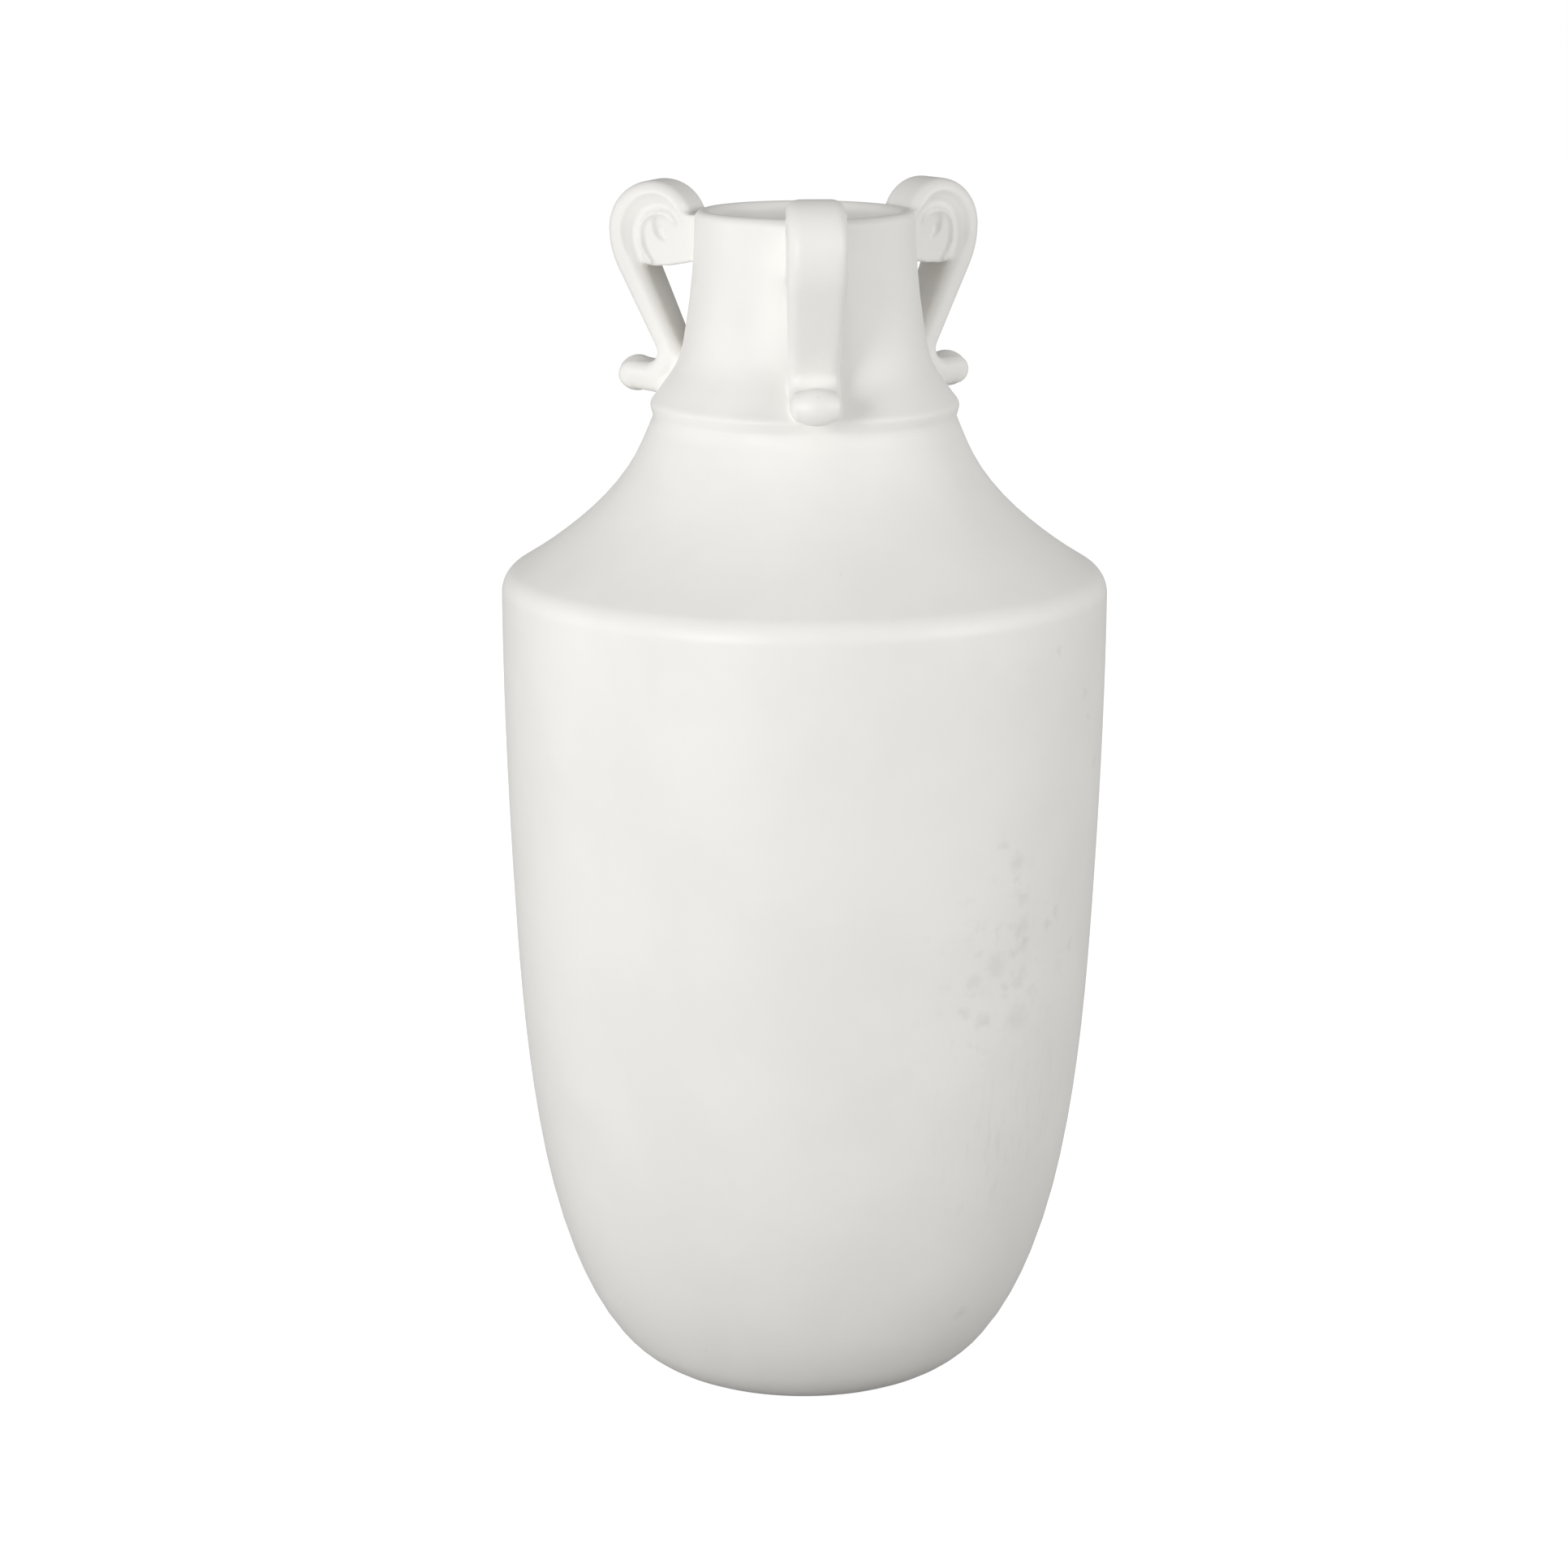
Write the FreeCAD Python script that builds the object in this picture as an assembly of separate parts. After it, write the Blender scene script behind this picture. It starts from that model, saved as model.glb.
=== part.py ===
import FreeCAD, Part
import math
import os

# A hand-finished amphora vase in one piece of glazed stoneware: a hollow turned body with a
# narrow neck, and three rolled scroll handles luted to the neck. Millimetres and degrees, +Z up,
# origin on the axis at the plane that the foot rests on. The near handle points along -Y.

# Wall and floor
wall = 6.5
floor = 6.0
lip_thickness = 7.0

# Foot: a flat ring with a shallow recess inside it. A lean is the slope of the outside wall,
# measured from upright, positive where the wall opens outwards going up.
foot_radius, foot_lean = 53.0, 80.0
foot_ring_width = 9.0
foot_recess = 2.0

# Body side, from the foot up to the shoulder corner: radius, height and lean of each station
heel_radius, heel_height, heel_lean = 80.4, 17.4, 38.0
hip_radius, hip_height, hip_lean = 98.5, 51.6, 20.2
flank_radius, flank_height, flank_lean = 112.5, 108.3, 9.0
side_radius, side_height, side_lean = 120.6, 191.3, 3.2
belly_radius = 125.0

# Shoulder: a tight corner, then a hollow slope up to the groove below the neck. A rise is a
# height above the corner here, and above the groove from the bead upwards.
corner_height = 333.8
corner_radius = 11.5
shoulder_lean = -59.7
slope_radius, slope_rise, slope_lean = 94.5, 27.4, -50.5
throat_radius, throat_rise, throat_lean = 72.9, 50.5, -34.0
groove_radius, groove_rise, groove_lean = 62.2, 72.6, -22.0
groove_height = corner_height + groove_rise

# Neck: a bead above the groove, a flare, then an almost straight collar up to the round lip
bead_radius, bead_rise = 63.4, 4.4
flare_radius, flare_rise, flare_lean = 60.3, 9.6, -34.0
waist_radius, waist_rise, waist_lean = 52.6, 20.9, -27.0
collar_radius, collar_rise, collar_lean = 48.6, 37.1, -9.5
neck_radius, rim_rise = 45.0, 83.6
rim_height = groove_height + rim_rise

# Handles: a clay strap that stands on an outward curl, leans out and rolls back to the neck.
# A reach is a distance from the axis of the vase, in the upright plane of the handle.
handle_count = 3
near_handle_offset = -4.5
strap_width = 25.5
strap_thickness = 10.2
strap_round = 3.4
scroll_reach, scroll_drop = 64.0, 9.5
scroll_height = rim_height - scroll_drop
outer_bends = (14.4, 13.3)
roll_thickness = 8.6
roll_bends = (11.2, 7.9, 7.0, 5.8)
roll_end_turn = 30.0
eye_radius, eye_depth = 13.4, 2.5
eye_inset, eye_rise = 1.5, -0.8
luting_half_height = 7.0
strut_bend, strut_lean = 30.0, 29.0

# Foot of each handle: the strut thins, bears on the flare and curls out above the bead
strut_foot_reach, strut_foot_rise = 60.4, 27.9
strut_foot_thickness = 8.2
strut_root_length = 14.1
curl_width = 21.5
curl_underside_rise = 5.2
curl_reach, curl_end_radius = 81.8, 7.2
curl_hollow = 3.6
root_depth = 3.0

UP = FreeCAD.Vector(0, 0, 1)
ACROSS = FreeCAD.Vector(0, 1, 0)


def at(x, z):
    """A point in the XZ plane."""
    return FreeCAD.Vector(x, 0, z)


def toward(angle):
    """The unit direction in the XZ plane at an angle from +X towards +Z."""
    return at(math.cos(math.radians(angle)), math.sin(math.radians(angle)))


def line(start, end):
    return Part.LineSegment(start, end).toShape()


def arc(centre, radius, start, end):
    """An arc of a circle in the XZ plane, from one angle to another."""
    angles = (start, (start + end) / 2, end)
    return Part.Arc(*[centre + toward(angle) * radius for angle in angles]).toShape()


def curves(stations):
    """Smooth curves through stations, each a point and the lean of the wall there."""
    edges = []
    for (start, first_lean), (end, last_lean) in zip(stations, stations[1:]):
        turn = math.radians(abs(last_lean - first_lean))
        reach = start.distanceToPoint(end) / (3 * math.cos(turn / 4) ** 2)
        curve = Part.BezierCurve()
        curve.setPoles([start, start + toward(90 - first_lean) * reach,
                        end - toward(90 - last_lean) * reach, end])
        edges.append(curve.toShape())
    return edges


def inside(stations):
    """The same stations on the inner face of the wall."""
    return [(point + toward(180 - lean) * wall, lean) for point, lean in stations]


def body():
    """The hollow body: one closed outline of its wall, turned about the axis."""
    corner_centre = at(belly_radius - corner_radius, corner_height)
    side = [(at(foot_radius, 0), foot_lean), (at(heel_radius, heel_height), heel_lean),
            (at(hip_radius, hip_height), hip_lean), (at(flank_radius, flank_height), flank_lean),
            (at(side_radius, side_height), side_lean), (at(belly_radius, corner_height), 0.0)]
    shoulder = [(corner_centre + toward(-shoulder_lean) * corner_radius, shoulder_lean),
                (at(slope_radius, corner_height + slope_rise), slope_lean),
                (at(throat_radius, corner_height + throat_rise), throat_lean)]
    groove = at(groove_radius, groove_height)
    flare = (at(flare_radius, groove_height + flare_rise), flare_lean)
    lip_radius = lip_thickness / 2
    lip_centre = at(neck_radius - lip_radius, rim_height - lip_radius)
    neck = [(at(waist_radius, groove_height + waist_rise), waist_lean),
            (at(collar_radius, groove_height + collar_rise), collar_lean)]
    lip_out = (lip_centre + at(lip_radius, 0), 0.0)
    lip_in = (lip_centre - at(lip_radius, 0), 0.0)
    bead = (at(bead_radius, groove_height + bead_rise), 0.0)

    outer = curves(side) + [arc(corner_centre, corner_radius, 0, -shoulder_lean)]
    outer += curves(shoulder + [(groove, groove_lean)]) + [line(groove, bead[0])]
    outer += curves([bead, flare] + neck + [lip_out])
    outer.append(arc(lip_centre, lip_radius, 0, 180))

    well = at(foot_radius - foot_ring_width, foot_recess + floor)
    inner_side = [(well, 90.0)] + inside(side[1:])
    inner = curves(inner_side) + [arc(corner_centre, corner_radius - wall, 0, -shoulder_lean)]
    inner += curves(inside(shoulder + neck) + [lip_in])

    recess_radius = foot_radius - foot_ring_width
    recess_edge = at(recess_radius - foot_recess, foot_recess)
    corners = [well, at(0, foot_recess + floor), at(0, foot_recess), recess_edge,
               at(recess_radius, 0), at(foot_radius, 0)]
    base = [line(start, end) for start, end in zip(corners, corners[1:])]
    wire = Part.Wire(Part.__sortEdges__(outer + inner + base))
    return Part.Face(wire).revolve(FreeCAD.Vector(0, 0, 0), UP, 360)


def strap_section(centre, heading, thickness, width):
    """A rounded rectangle square to the strap's run, as a face."""
    half = toward(heading + 90) * (thickness / 2 - strap_round)
    side = ACROSS * (width / 2 - strap_round)
    core = Part.makePolygon([centre + half + side, centre - half + side, centre - half - side,
                             centre + half - side, centre + half + side])
    return Part.Face(core.makeOffset2D(strap_round))


def rolled(centre, heading, bends, thickness, last_turn):
    """The strap rolled through quarter turns, each with its own bend radius."""
    pieces = []
    for number, bend in enumerate(bends, 1):
        angle = last_turn if number == len(bends) else 90.0
        pivot = centre + toward(heading + 90) * bend
        section = strap_section(centre, heading, thickness, strap_width)
        pieces.append(section.revolve(pivot, -ACROSS, angle))
        heading += angle
        centre = pivot + toward(heading - 90) * bend
    return pieces, centre, heading


def scroll():
    """The rolled head: two turns of strap, a web that fills the eye, and clay up to the neck."""
    start = at(scroll_reach + outer_bends[0], scroll_height)
    outer, centre, heading = rolled(start, 90, outer_bends, strap_thickness, 90.0)
    inner, centre, heading = rolled(centre, heading, roll_bends, roll_thickness,
                                    90.0 + roll_end_turn)
    eye_width = strap_width - 2 * eye_depth
    eye_centre = at(scroll_reach - eye_inset, scroll_height + eye_rise)
    eye = Part.makeCylinder(eye_radius, eye_width, eye_centre - ACROSS * (eye_width / 2), ACROSS)
    section = strap_section(start, 90, strap_thickness, strap_width)
    bend = section.revolve(start - at(strut_bend, 0), ACROSS, strut_lean)
    luting = Part.makeBox(scroll_reach - neck_radius, eye_width, 2 * luting_half_height,
                          FreeCAD.Vector(neck_radius - wall / 2, -eye_width / 2,
                                         eye_centre.z - luting_half_height))
    return outer + inner + [eye, bend, luting]


def strut():
    """The straight run between the scroll and the curl, thinner and narrower at its foot."""
    bend_centre = at(scroll_reach + outer_bends[0] - strut_bend, scroll_height)
    top = bend_centre + toward(-strut_lean) * strut_bend
    foot = at(strut_foot_reach, groove_height + strut_foot_rise)
    ends = [strap_section(top, 90 - strut_lean, strap_thickness, strap_width),
            strap_section(foot, 90 - strut_lean, strut_foot_thickness, curl_width)]
    return Part.makeLoft([end.OuterWire for end in ends], True, True)


def curl():
    """The foot of the strut, which bears on the flare and curls outwards to a round end."""
    out = toward(-strut_lean)
    foot = at(strut_foot_reach, groove_height + strut_foot_rise)
    foot_outer = foot + out * (strut_foot_thickness / 2)
    foot_inner = foot - out * (strut_foot_thickness / 2)
    hollow_centre = foot_outer + out * curl_hollow
    curl_top = hollow_centre.z - curl_hollow

    end_centre = at(curl_reach - curl_end_radius, curl_top - curl_end_radius)
    root = at(bead_radius - root_depth, groove_height + curl_underside_rise)
    drop = end_centre - root
    slope = math.degrees(math.atan2(drop.z, drop.x) - math.asin(curl_end_radius / drop.Length))
    end_under = end_centre + toward(slope - 90) * curl_end_radius
    root_top = foot_inner + toward(270 - strut_lean) * strut_root_length

    edges = [line(foot_inner, foot_outer),
             arc(hollow_centre, curl_hollow, 180 - strut_lean, 270),
             line(hollow_centre - at(0, curl_hollow), end_centre + at(0, curl_end_radius)),
             arc(end_centre, curl_end_radius, 90, slope - 90),
             line(end_under, root), line(root, root_top), line(root_top, foot_inner)]
    face = Part.Face(Part.Wire(Part.__sortEdges__(edges)))
    face.translate(ACROSS * (-curl_width / 2))
    slab = face.extrude(ACROSS * curl_width)
    rims = [edge for edge in slab.Edges
            if abs(edge.CenterOfMass.y) > curl_width / 4
            and edge.CenterOfMass.distanceToPoint(foot) > curl_width / 2 + strap_round / 4]
    return slab.makeFillet(strap_round, rims)


def handle():
    """One whole handle, pointing along +X."""
    pieces = scroll() + [strut(), curl()]
    return pieces[0].multiFuse(pieces[1:]).removeSplitter()


def vase():
    """The body with its handles spaced around it; the near one sits a little off even spacing."""
    model = handle()
    handles = []
    for number in range(handle_count):
        turn = -90.0 + number * 360.0 / handle_count
        if number == 0:
            turn += near_handle_offset
        copy = model.copy()
        copy.rotate(FreeCAD.Vector(0, 0, 0), UP, turn)
        handles.append(copy)
    return body().multiFuse(handles)


os.makedirs("parts", exist_ok=True)
solids = vase().Solids
solids[0].exportStep("parts/amphora_vase.step")
print("solids:", len(solids), "volume in ml:", round(solids[0].Volume / 1000))
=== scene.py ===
import math
import bpy
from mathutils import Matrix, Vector


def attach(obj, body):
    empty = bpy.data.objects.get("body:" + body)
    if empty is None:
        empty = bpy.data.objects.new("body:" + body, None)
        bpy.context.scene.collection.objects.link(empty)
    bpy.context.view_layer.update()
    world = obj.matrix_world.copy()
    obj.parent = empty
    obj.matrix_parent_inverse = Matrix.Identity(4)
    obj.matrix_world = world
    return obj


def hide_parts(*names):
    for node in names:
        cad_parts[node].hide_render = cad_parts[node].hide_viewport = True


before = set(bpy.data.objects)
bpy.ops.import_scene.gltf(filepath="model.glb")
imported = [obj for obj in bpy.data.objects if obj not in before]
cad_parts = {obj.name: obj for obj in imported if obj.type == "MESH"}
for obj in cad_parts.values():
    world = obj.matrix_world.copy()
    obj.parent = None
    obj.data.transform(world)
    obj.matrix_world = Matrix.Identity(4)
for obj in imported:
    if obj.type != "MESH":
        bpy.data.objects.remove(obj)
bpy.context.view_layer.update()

# Body. A hollow stoneware pot with a 6.5 mm wall, turned true, with a hollow sloping shoulder and
# a flat foot ring. It ends here at the sharp groove under the neck, where the neck is set on. Sizes
# are in millimetres: a place is a radius and a height, and a station adds the lean of the wall.
MM = 0.001
WALL = 6.5 * MM
TURNED_COLUMNS = 160
GROOVE = (62.2, 406.4, -22.0)
FOOT = (53.0, 0.0, 80.0)
HEEL = (80.4, 17.4, 38.0)
SIDE = [(98.5, 51.6, 20.2), (112.5, 108.3, 9.0), (120.6, 191.3, 3.2), (125.0, 333.8, 0.0),
        (123.43, 339.6, -30.0), (119.3, 343.73, -59.7)]
SHOULDER = [(94.5, 361.2, -50.5), (72.9, 384.3, -34.0)]
NECK = [(52.6, 427.3, -27.0), (48.6, 443.5, -9.5)]
FOOT_RECESS = [(44.0, 0.0), (42.0, 2.0), (0.0, 2.0), (0.0, 8.0), (44.0, 8.0)]
WELL = [(44.0, 8.0, 90.0), (92.4, 53.8, 20.2)]
JOIN_HEIGHT = 407.6 * MM
STEP_TURN = 5
STEP_RUN = 14 * MM


def upward(lean):
    """The direction in which a wall of this lean climbs."""
    return Vector((math.sin(math.radians(lean)), 0, math.cos(math.radians(lean))))


def place(radius, height):
    """A point in the XZ plane from a radius and a height in millimetres."""
    return Vector((radius * MM, 0, height * MM))


def wall_line(stations, depth=0.0):
    """Points up a smooth wall through stations of radius, height and lean, at a depth in it."""
    points = []
    for (radius, height, lean), (next_radius, next_height, next_lean) in zip(stations, stations[1:]):
        start = place(radius, height) - upward(lean + 90) * depth
        end = place(next_radius, next_height) - upward(next_lean + 90) * depth
        turn = math.radians(abs(next_lean - lean))
        reach = (end - start).length / (3 * math.cos(turn / 4) ** 2)
        first = start + upward(lean) * reach
        last = end - upward(next_lean) * reach
        steps = max(4, round(math.degrees(turn) / STEP_TURN), round((end - start).length / STEP_RUN))
        for step in range(steps):
            t = step / steps
            s = 1 - t
            near_start = start * s ** 3 + first * (3 * s * s * t)
            points.append(near_start + last * (3 * s * t * t) + end * t ** 3)
    return points + [end]


def drawn_line(points):
    """A line of vertices, extruded from point to point, left open in edit mode."""
    bpy.ops.object.select_all(action="DESELECT")
    bpy.ops.mesh.primitive_plane_add(size=MM, location=points[0])
    bpy.ops.object.mode_set(mode="EDIT")
    bpy.ops.mesh.select_mode(type="VERT")
    bpy.ops.mesh.merge(type="CENTER")
    for start, end in zip(points, points[1:]):
        bpy.ops.mesh.extrude_region_move(TRANSFORM_OT_translate={"value": end - start})
    bpy.ops.mesh.select_all(action="SELECT")


def finish_mesh(name):
    """Welds the open mesh, turns its faces outwards and sets its place in its vertices."""
    bpy.ops.mesh.select_all(action="SELECT")
    bpy.ops.mesh.remove_doubles(threshold=0.02 * MM)
    bpy.ops.mesh.normals_make_consistent(inside=False)
    bpy.ops.object.mode_set(mode="OBJECT")
    bpy.ops.object.transform_apply(location=True, rotation=True, scale=True)
    made = bpy.context.object
    made.name = name
    return made


def turned(name, points):
    """A shape turned about the vase's axis from an outline."""
    drawn_line(points)
    bpy.ops.mesh.spin(steps=TURNED_COLUMNS, angle=math.tau, center=(0, 0, 0), axis=(0, 0, 1))
    return finish_mesh(name)


outside = wall_line([FOOT, HEEL] + SIDE + SHOULDER + [GROOVE])
inside = wall_line(SIDE + SHOULDER + NECK, WALL)
underside = [place(*corner) for corner in FOOT_RECESS]
well = wall_line(WELL)
body_inside = [point for point in inside if point.z < JOIN_HEIGHT - MM]
body = turned("vase_body", outside[::-1] + underside + well[1:-1] + body_inside)

# Neck. It flares down to a rounded bead over the groove and carries a 7 mm round lip. It is turned
# as a ring that runs a little below the join, so that it can be trimmed to meet the body.
BEAD = (63.4, 410.8, 0.0)
FLARE = (60.3, 416.0, -34.0)
LIP = [(45.0, 486.5, 0.0), (41.5, 490.0, -90.0), (38.0, 486.5, -180.0)]
MOUTH = (38.0, 480.0)
SKIRT = (60.5, 400.0)

neck_outside = wall_line([BEAD, FLARE] + NECK + LIP)
neck_inside = [point for point in inside if point.z > SKIRT[1] * MM] + [place(*MOUTH)]
skirt = [place(*SKIRT)]
neck = turned("vase_neck", skirt + neck_outside + neck_inside[::-1] + skirt)

# Handles. Each is a flat strap of clay: it comes in from an outward curl, turns up, leans out,
# rolls over and back to the lip, and goes on under itself in a smaller roll. A turn of the strap is
# a bend radius, an angle and, where the strap thins or narrows, its taper.
STRAP_WIDTH = 23.8
STRAP_THICKNESS = 12.0
STRAP_ROUND = 5.4
SCROLL = (64.6, 480.3)
OVER_TURNS = [(13.7, 90, 1.0), (12.6, 90, 0.93)]
STRUT_BEND = 29.3
STRUT_LEAN = 29.0
STRUT_TAPER = 0.86
CURL_START = (75.8, 420.9)
CURL_BOTTOM = (67.7, 420.0)
CURL_BEND = 9.6
ROLL_SHARE = (0.86, 0.88, 1)
ROLL_TURNS = [(11.2, 90), (7.9, 50)]
CORNER_STEPS = 5
WIND_STEP = 7


def toward(heading):
    """The direction in the handle's plane at an angle from outwards towards up."""
    return Vector((math.cos(math.radians(heading)), 0, math.sin(math.radians(heading))))


def strap_end(centre, heading, thickness, width, corner):
    """A rounded strap end square to the strap's run, selected in edit mode."""
    bpy.ops.object.select_all(action="DESELECT")
    tilt = (0, math.radians(90 - heading), 0)
    bpy.ops.mesh.primitive_plane_add(size=MM, location=centre, rotation=tilt)
    bpy.context.object.scale = (thickness, width, 1)
    bpy.ops.object.transform_apply(location=False, rotation=False, scale=True)
    bpy.ops.object.mode_set(mode="EDIT")
    bpy.ops.mesh.select_mode(type="VERT")
    bpy.ops.mesh.select_all(action="SELECT")
    bpy.ops.mesh.bevel(affect="VERTICES", offset=corner * MM, segments=CORNER_STEPS)
    bpy.ops.mesh.select_mode(type="FACE")


def wind(centre, heading, bend, turn, taper=1.0):
    """Spins the selected end through a turn, anticlockwise where it is positive, and may taper it."""
    side = 90 if turn > 0 else -90
    pivot = centre + toward(heading + side) * bend * MM
    steps = max(3, round(abs(turn) / WIND_STEP))
    angle = math.radians(abs(turn)) / steps
    for step in range(steps):
        bpy.ops.mesh.spin(steps=1, angle=angle, center=pivot, axis=(0, side / 90, 0))
        bpy.ops.transform.resize(value=(taper ** (1 / steps),) * 3)
    return pivot + toward(heading + turn - side) * bend * MM, heading + turn


def run_to(move):
    """Extrudes the selected end straight through a move."""
    bpy.ops.mesh.extrude_region_move(TRANSFORM_OT_translate={"value": move})


strap_end(place(*CURL_START), 180, STRAP_THICKNESS * STRUT_TAPER, STRAP_WIDTH * STRUT_TAPER,
          STRAP_ROUND * STRUT_TAPER)
run_to(place(*CURL_BOTTOM) - place(*CURL_START))
strut_foot, strut_heading = wind(place(*CURL_BOTTOM), 180, CURL_BEND, -90 - STRUT_LEAN)
bend_hub = place(SCROLL[0] + OVER_TURNS[0][0] - STRUT_BEND, SCROLL[1])
strut_top = bend_hub + toward(-STRUT_LEAN) * STRUT_BEND * MM
run_to(strut_top - strut_foot)
bpy.ops.transform.resize(value=(1 / STRUT_TAPER,) * 3)
strap_centre, strap_heading = strut_top, strut_heading
for bend, turn, taper in [(STRUT_BEND, STRUT_LEAN, 1.0)] + OVER_TURNS:
    strap_centre, strap_heading = wind(strap_centre, strap_heading, bend, turn, taper)
bpy.ops.transform.resize(value=ROLL_SHARE)
for bend, turn in ROLL_TURNS:
    strap_centre, strap_heading = wind(strap_centre, strap_heading, bend, turn)
strap = finish_mesh("strap")

# Scroll. A web of clay fills the roll almost to the strap's sides, a thin raised line winds up
# from the underside and over the top to a blunt end, and slip fills the corner at the neck.
WEB_WIDTH = 21.0
WEB_RADIUS = 14.2
WEB_CENTRE = (62.4, 479.6)
EDGE_LINE_START = (63.5, 466.6)
EDGE_LINE_HEADING = 43
EDGE_LINE_TURNS = [(17.7, 47, 1.0), (7.9, 90, 1.0), (7.3, 95, 0.84)]
EDGE_LINE_THICKNESS = 2.8
EDGE_LINE_WIDTH = 24.1
EDGE_LINE_ROUND = 1.6
WEB_ROUND = 0.8
LUTING = [(42.5, 468.4), (56.0, 465.8), (62.0, 465.6), (60.0, 489.0), (42.5, 486.5)]
RIM_ANGLE = 60


def across(centre, radius, width, corner):
    """A cylinder lying across the handle, with rounded rims, left in edit mode."""
    bpy.ops.object.select_all(action="DESELECT")
    bpy.ops.mesh.primitive_cylinder_add(vertices=48, radius=radius * MM, depth=width * MM,
                                        location=place(*centre), rotation=(math.pi / 2, 0, 0))
    bpy.ops.object.mode_set(mode="EDIT")
    bpy.ops.mesh.select_mode(type="EDGE")
    bpy.ops.mesh.select_all(action="DESELECT")
    bpy.ops.mesh.edges_select_sharp(sharpness=math.radians(RIM_ANGLE))
    bpy.ops.mesh.bevel(offset=corner * MM, segments=CORNER_STEPS)


def slab(corners, width):
    """An outline in the handle's plane, filled and thickened evenly to both sides."""
    drawn_line([place(*corner) - Vector((0, width * MM / 2, 0)) for corner in corners])
    bpy.ops.mesh.edge_face_add()
    run_to((0, width * MM, 0))


across(WEB_CENTRE, WEB_RADIUS, WEB_WIDTH, WEB_ROUND)
web = finish_mesh("web")
line_centre, line_heading = place(*EDGE_LINE_START), EDGE_LINE_HEADING
strap_end(line_centre, line_heading, EDGE_LINE_THICKNESS, EDGE_LINE_WIDTH, EDGE_LINE_ROUND)
for bend, turn, taper in EDGE_LINE_TURNS:
    line_centre, line_heading = wind(line_centre, line_heading, bend, turn, taper)
edge_line = finish_mesh("edge_line")
slab(LUTING, WEB_WIDTH)
luting = finish_mesh("luting")

# Curl. More clay under the strap makes the outward curl thick: it is luted to the flare of the
# neck and pressed to a round tip with a domed cushion in the middle and soft rims at its sides.
CURL_ROUND = 5.0
CURL_ROOT = (57.0, 417.6)
CURL_ROOT_THICKNESS = 11.6
CURL_TIP = (75.0, 419.8)
CURL_TIP_RADIUS = 5.9
CURL_WIDTH = 20.2
CURL_TIP_ROUND = 4.0
CUSHION_SHAPE = (7.5, 10.0, 7.5)
ROOT_WIDTH = 19.8
STRUT_ROOT = 14.0

curl_run = place(*CURL_TIP) - place(*CURL_ROOT)
curl_heading = math.degrees(math.atan2(curl_run.z, curl_run.x))
strap_end(place(*CURL_ROOT), curl_heading, CURL_ROOT_THICKNESS, ROOT_WIDTH, CURL_ROUND)
run_to(curl_run)
curl = finish_mesh("curl")
strap_end(strut_foot, 270 - STRUT_LEAN, STRAP_THICKNESS * STRUT_TAPER, ROOT_WIDTH,
          STRAP_ROUND * STRUT_TAPER)
run_to(toward(270 - STRUT_LEAN) * STRUT_ROOT * MM)
strut_root = finish_mesh("strut_root")
across(CURL_TIP, CURL_TIP_RADIUS, CURL_WIDTH, CURL_TIP_ROUND)
tip = finish_mesh("tip")
bpy.ops.object.select_all(action="DESELECT")
bpy.ops.mesh.primitive_uv_sphere_add(segments=48, ring_count=24, radius=MM, location=place(*CURL_TIP))
bpy.context.object.scale = CUSHION_SHAPE
bpy.ops.object.mode_set(mode="EDIT")
cushion = finish_mesh("cushion")

# Carving. Each side of the scroll is hollowed along the outside of the raised line, deepest next
# to the line and fading towards the neck, and a short groove inside its end makes the eye.
CLAY_GRAIN = 0.5 * MM
LINE_GROOVE = ((61.7, 461.7), 30, 1.7, [(20.7, 60, 1.5), (10.9, 90, 1.0), (10.3, 90, 0.6)])
BAND_HOLLOW = ((62.2, 460.9), 30, 3.8, [(21.6, 60, 1.4), (11.8, 90, 1.0), (11.4, 60, 0.72)])
EYE_GROOVE = ((63.0, 484.4), -140, 1.5, [(7.0, 38, 1.6), (5.0, -60, 0.6)])
LINE_GROOVE_LEVEL = 11.9
BAND_HOLLOW_LEVEL = 15.3
EYE_GROOVE_LEVEL = 10.9
GROOVE_ROUND = 0.95


def joined(parts):
    """Makes one object of several."""
    bpy.ops.object.select_all(action="DESELECT")
    for part in parts:
        part.select_set(True)
    bpy.context.view_layer.objects.active = parts[0]
    bpy.ops.object.join()
    return parts[0]


def applied(target, kind, **settings):
    """Adds a modifier with its settings and applies it."""
    bpy.context.view_layer.objects.active = target
    modifier = target.modifiers.new(kind.lower(), kind)
    for setting, value in settings.items():
        setattr(modifier, setting, value)
    bpy.ops.object.modifier_apply(modifier=modifier.name)


def groove(level, start, heading, radius, turns):
    """A round tool that follows a wound path beside the handle, at a level out from its middle."""
    centre = place(*start) + Vector((0, level * MM, 0))
    strap_end(centre, heading, radius * 2, radius * 2, radius * GROOVE_ROUND)
    for bend, turn, taper in turns:
        centre, heading = wind(centre, heading, bend, turn, taper)
    return finish_mesh("groove_tool")


first_handle = joined([strap, web, edge_line, luting, curl, strut_root, tip, cushion])
applied(first_handle, "REMESH", mode="VOXEL", voxel_size=CLAY_GRAIN)
for side in (-1, 1):
    for level, shape in [(LINE_GROOVE_LEVEL, LINE_GROOVE), (BAND_HOLLOW_LEVEL, BAND_HOLLOW),
                         (EYE_GROOVE_LEVEL, EYE_GROOVE)]:
        tool = groove(side * level, *shape)
        applied(first_handle, "BOOLEAN", operation="DIFFERENCE", solver="MANIFOLD", object=tool)
        bpy.data.objects.remove(tool)

# Three handles. They are alike and stand about the neck at even spacing, apart from the near one,
# which sits a little off.
HANDLE_TURNS = (-94.0, 30.0, 150.0)

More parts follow.
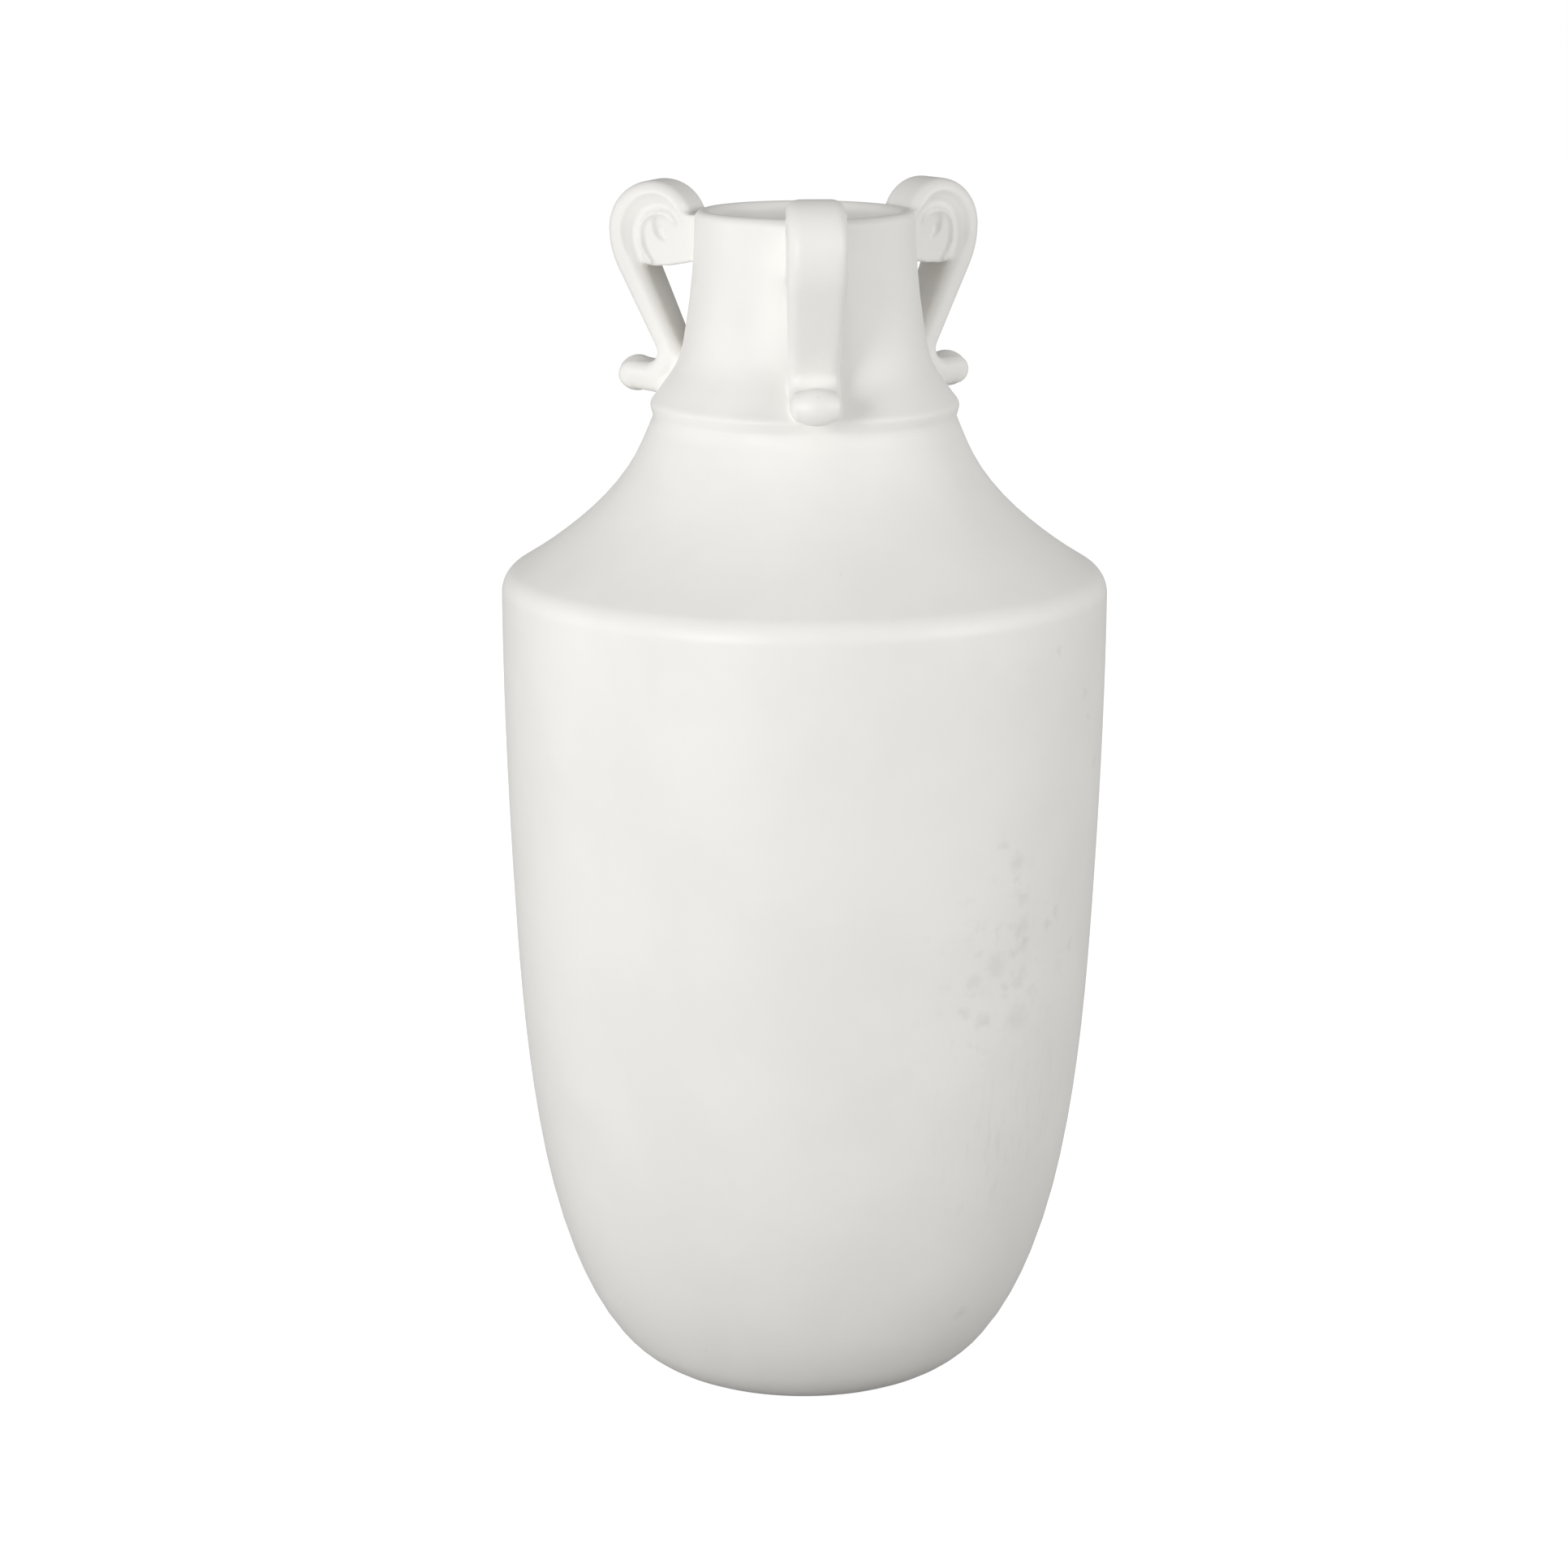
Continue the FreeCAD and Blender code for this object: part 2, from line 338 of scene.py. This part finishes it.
handles = [first_handle]
for turn in HANDLE_TURNS[1:]:
    copy = first_handle.copy()
    copy.data = first_handle.data.copy()
    bpy.context.scene.collection.objects.link(copy)
    handles.append(copy)
for handle, turn in zip(handles, HANDLE_TURNS):
    handle.rotation_euler = (0, 0, math.radians(turn))
bpy.ops.object.select_all(action="DESELECT")
for handle in handles:
    handle.select_set(True)
bpy.context.view_layer.objects.active = first_handle
bpy.ops.object.transform_apply(location=True, rotation=True, scale=True)

# Luting and glaze. Slip fills the corners where the handles meet the neck, and the glaze rounds
# every edge over, so the neck and handles are melted into one skin and smoothed.
GRAIN = 0.7 * MM
SOFTENING = 4
KEPT_SHARE = 0.34
INNER_LIMIT = 59.0 * MM

vase = joined([neck] + handles)
applied(vase, "REMESH", mode="VOXEL", voxel_size=GRAIN)
applied(vase, "SMOOTH", factor=0.5, iterations=SOFTENING)
applied(vase, "DECIMATE", ratio=KEPT_SHARE)
bpy.ops.object.mode_set(mode="EDIT")
bpy.ops.mesh.select_all(action="SELECT")
bpy.ops.mesh.bisect(plane_co=(0, 0, JOIN_HEIGHT), plane_no=(0, 0, 1), clear_inner=True)
bpy.ops.object.mode_set(mode="OBJECT")

vase = joined([body, vase])
for outer in (True, False):
    bpy.ops.object.mode_set(mode="EDIT")
    bpy.ops.mesh.select_mode(type="VERT")
    bpy.ops.mesh.select_all(action="DESELECT")
    bpy.ops.mesh.select_non_manifold(extend=False, use_wire=False, use_multi_face=False,
                                     use_non_contiguous=False, use_verts=False)
    bpy.ops.object.mode_set(mode="OBJECT")
    for vertex in vase.data.vertices:
        if vertex.select and (vertex.co.xy.length > INNER_LIMIT) != outer:
            vertex.select = False
    for edge in vase.data.edges:
        edge.select = all(vase.data.vertices[corner].select for corner in edge.vertices)
    bpy.ops.object.mode_set(mode="EDIT")
    bpy.ops.mesh.select_mode(type="EDGE")
    bpy.ops.mesh.bridge_edge_loops()
    bpy.ops.object.mode_set(mode="OBJECT")
vase.name = "glazed_vase"
bpy.ops.object.mode_set(mode="EDIT")
bpy.ops.mesh.select_all(action="SELECT")
bpy.ops.mesh.normals_make_consistent(inside=False)
bpy.ops.object.mode_set(mode="OBJECT")
bpy.ops.object.shade_smooth_by_angle(angle=math.radians(50))
print("glazed_vase triangles:", sum(len(face.vertices) - 2 for face in vase.data.polygons))

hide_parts("amphora_vase")
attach(vase, "root")

# Glaze. It is a satin off-white with a little mottling. The right of the body is soiled: soft grey
# smudges at known places, finer ones between them, upright rubbed marks below, and a few specks.
GLAZE = "F2F0EC"
GLAZE_SHADE = "EFEDE9"
SOIL = "A8A498"
MOTTLE_LENGTH = 48.0
RAGGED_LENGTH = 4.0
RAGGED_REACH = 7.0
SMUDGE_SPREAD = 1.75
SMUDGES = [(90.6, -86.0, 321.9, 2.2), (105.3, -66.7, 301.0, 2.0), (107.7, -62.4, 290.3, 1.5),
           (112.6, -52.0, 268.9, 2.4), (72.6, -99.2, 239.2, 3.6), (66.1, -104.1, 247.9, 2.0),
           (72.8, -98.7, 232.4, 2.2), (74.9, -96.6, 224.4, 2.8), (75.3, -95.5, 211.3, 4.0),
           (76.7, -94.1, 205.8, 2.4), (70.7, -98.4, 201.1, 1.8), (64.0, -102.7, 198.5, 4.6),
           (53.9, -108.0, 192.9, 3.4), (74.1, -94.9, 188.5, 2.8), (68.4, -99.1, 188.2, 1.7),
           (74.2, -93.6, 173.6, 5.2), (58.3, -104.5, 175.9, 3.4), (50.3, -108.9, 180.5, 2.4),
           (91.9, -79.9, 213.4, 2.0), (88.2, -83.6, 209.4, 2.0), (100.7, -66.8, 196.2, 2.2),
           (55.6, -76.7, 42.1, 3.0)]
SPECKS = [(-5.4, -80.6, 424.4, 0.8), (-49.8, -72.5, 28.9, 0.8), (1.0, -99.0, 357.6, 0.7),
          (-120.7, -20.1, 341.1, 0.7), (18.7, -119.6, 342.4, 0.6), (116.0, -46.2, 312.0, 1.0)]
PATCHES = (66.0, -100.0, 196.0)
RUBS = (73.0, -87.0, 125.0)
SOILED_REACH = 62.0
PATCH_SHARE = 0.8
RUB_SHARE = 0.7
SPECK_SHARE = 1.5
SOIL_SHARE = 0.125
WAVE_HEIGHT = 0.28 * MM


def linear(code):
    """A colour from its sRGB hex code."""
    parts = [int(code[first:first + 2], 16) / 255 for first in (0, 2, 4)]
    return [part / 12.92 if part <= 0.04045 else ((part + 0.055) / 1.055) ** 2.4 for part in parts] + [1.0]


def node(kind, inputs, **settings):
    """Adds a node with its settings to the open material and gives its inputs values or links."""
    made = nodes.new("ShaderNode" + kind)
    for setting, value in settings.items():
        setattr(made, setting, value)
    for number, value in inputs.items():
        if isinstance(value, bpy.types.NodeSocket):
            links.new(value, made.inputs[number])
        else:
            made.inputs[number].default_value = value
    return next(output for output in made.outputs if output.enabled)


def noise(coordinates, length, detail):
    """Noise of 0 to 1 whose features are about this long in millimetres."""
    return node("TexNoise", {"Vector": coordinates, "Scale": 1 / (length * MM), "Detail": detail})


def ramp(value, low, high):
    """A smooth step from 0 to 1 between two values."""
    return node("MapRange", {0: value, 1: low, 2: high}, interpolation_type="SMOOTHSTEP")


def near(coordinates, centre, radius):
    """A soft round patch about a place, 1 in the middle and 0 outside its radius in millimetres."""
    away = node("VectorMath", {0: coordinates, 1: Vector(centre) * MM}, operation="DISTANCE")
    return ramp(away, radius * MM, radius * MM * 0.1)


def math_node(operation, *values):
    """A sum or product of values or links."""
    return node("Math", dict(enumerate(values)), operation=operation)


glaze = bpy.data.materials.new("glazed_stoneware")
glaze.use_nodes = True
nodes = glaze.node_tree.nodes
links = glaze.node_tree.links
shader = nodes["Principled BSDF"]

spot = nodes.new("ShaderNodeTexCoord").outputs["Object"]
scatter = nodes.new("ShaderNodeTexNoise")
scatter.inputs["Scale"].default_value = 1 / (RAGGED_LENGTH * MM)
links.new(spot, scatter.inputs["Vector"])
ragged = node("VectorMath", {0: scatter.outputs["Color"], 1: (RAGGED_REACH * MM,) * 3, 2: spot},
              operation="MULTIPLY_ADD")
soil = 0.0
for x, y, z, radius in SMUDGES:
    centre = [value + RAGGED_REACH / 2 for value in (x, y, z)]
    soil = math_node("MAXIMUM", soil, near(ragged, centre, radius * SMUDGE_SPREAD))
patches = ramp(noise(spot, 7.0, 3.0), 0.52, 0.72)
patches = math_node("MULTIPLY", patches, near(spot, PATCHES, SOILED_REACH))
soil = math_node("MULTIPLY_ADD", patches, PATCH_SHARE, soil)
stretched = node("VectorMath", {0: spot, 1: (1.0, 1.0, 0.08)}, operation="MULTIPLY")
rubs = ramp(noise(stretched, 2.2, 2.0), 0.52, 0.72)
rubs = math_node("MULTIPLY", rubs, near(spot, RUBS, SOILED_REACH))
soil = math_node("MULTIPLY_ADD", rubs, RUB_SHARE, soil)
for x, y, z, radius in SPECKS:
    soil = math_node("MULTIPLY_ADD", near(spot, (x, y, z), radius), SPECK_SHARE, soil)
soil = node("Math", {0: soil, 1: SOIL_SHARE}, operation="MULTIPLY", use_clamp=True)

mottle = ramp(noise(spot, MOTTLE_LENGTH, 3.0), 0.35, 0.65)
clean = node("Mix", {0: mottle, 6: linear(GLAZE), 7: linear(GLAZE_SHADE)}, data_type="RGBA")
soiled = node("Mix", {0: soil, 6: clean, 7: linear(SOIL)}, data_type="RGBA")
links.new(soiled, shader.inputs["Base Color"])
sheen = math_node("MULTIPLY_ADD", noise(spot, 20.0, 2.0), 0.10, 0.42)
links.new(sheen, shader.inputs["Roughness"])
waves = noise(spot, 34.0, 1.0)
waves = math_node("MULTIPLY_ADD", noise(spot, 3.0, 2.0), 0.03, waves)
relief = node("Bump", {"Height": waves, "Distance": WAVE_HEIGHT})
links.new(relief, shader.inputs["Normal"])
vase.data.materials.clear()
vase.data.materials.append(glaze)

# Studio. A plain pale floor, pale air, and soft lamps at the front left and front right, with a
# weaker one at each side. The floor and the air look white to the camera.
FLOOR_GREY = (0.4, 0.4, 0.4, 1)
FLOOR_GLOW = 0.9
AIR = (0.365, 0.365, 0.365, 1)
WHITE = (1, 1, 1, 1)
LIT_PLACE = (0, 0, 0.25)

bpy.ops.object.select_all(action="DESELECT")
bpy.ops.mesh.primitive_plane_add(size=12)
floor = bpy.context.object
floor.name = "studio_floor"
paper = bpy.data.materials.new("studio_paper")
paper.use_nodes = True
nodes = paper.node_tree.nodes
links = paper.node_tree.links
shader = nodes["Principled BSDF"]
shader.inputs["Base Color"].default_value = FLOOR_GREY
shader.inputs["Roughness"].default_value = 1.0
shader.inputs["Emission Color"].default_value = WHITE
seen = nodes.new("ShaderNodeLightPath").outputs["Is Camera Ray"]
links.new(math_node("MULTIPLY", seen, FLOOR_GLOW), shader.inputs["Emission Strength"])
floor.data.materials.append(paper)

world = bpy.context.scene.world or bpy.data.worlds.new("studio_air")
bpy.context.scene.world = world
world.use_nodes = True
nodes = world.node_tree.nodes
links = world.node_tree.links
seen = nodes.new("ShaderNodeLightPath").outputs["Is Camera Ray"]
air = node("Mix", {0: seen, 6: AIR, 7: WHITE}, data_type="RGBA")
links.new(air, nodes["Background"].inputs["Color"])
nodes["Background"].inputs["Strength"].default_value = 1.0


def softbox(name, position, width, height, power):
    """A large soft lamp at a place, turned to face the vase."""
    bpy.ops.object.select_all(action="DESELECT")
    bpy.ops.object.light_add(type="AREA", location=position)
    lamp = bpy.context.object
    lamp.name = name
    lamp.data.shape = "RECTANGLE"
    lamp.data.size = width
    lamp.data.size_y = height
    lamp.data.energy = power
    aim = Vector(LIT_PLACE) - Vector(position)
    lamp.rotation_euler = aim.to_track_quat("-Z", "Y").to_euler()


softbox("left_light", (-1.98, 0.05, 0.6), 1.2, 1.2, 9.1)
softbox("front_left_light", (-1.28, -1.53, 0.7), 0.7, 0.8, 19.8)
softbox("front_right_light", (1.5, -1.3, 0.9), 0.9, 0.9, 13.5)
softbox("right_light", (1.98, -0.1, 0.6), 1.1, 1.2, 5.2)

# Camera at the photograph's viewing angle: a little above and a little to the left of the near
# handle, about 1.8 m away.
VIEW_CENTRE = Vector((0, 0, 0.2507))
VIEW_DISTANCE = 1.761
VIEW_ELEVATION = math.radians(13.12)
VIEW_AZIMUTH = math.radians(-97.58)
VIEW_ROLL = 0.002
VIEW_LENS = 96.6
VIEW_SHIFT = -0.0128

direction = Vector((math.cos(VIEW_AZIMUTH) * math.cos(VIEW_ELEVATION),
                    math.sin(VIEW_AZIMUTH) * math.cos(VIEW_ELEVATION), math.sin(VIEW_ELEVATION)))
bpy.ops.object.select_all(action="DESELECT")
bpy.ops.object.camera_add(location=VIEW_CENTRE + direction * VIEW_DISTANCE)
camera = bpy.context.object
camera.rotation_euler = (-direction).to_track_quat("-Z", "Y").to_euler()
camera.rotation_euler.rotate_axis("Z", VIEW_ROLL)
camera.data.lens = VIEW_LENS
camera.data.sensor_width = 36
camera.data.shift_x = VIEW_SHIFT
bpy.context.scene.camera = camera
bpy.context.scene.view_settings.view_transform = "Standard"
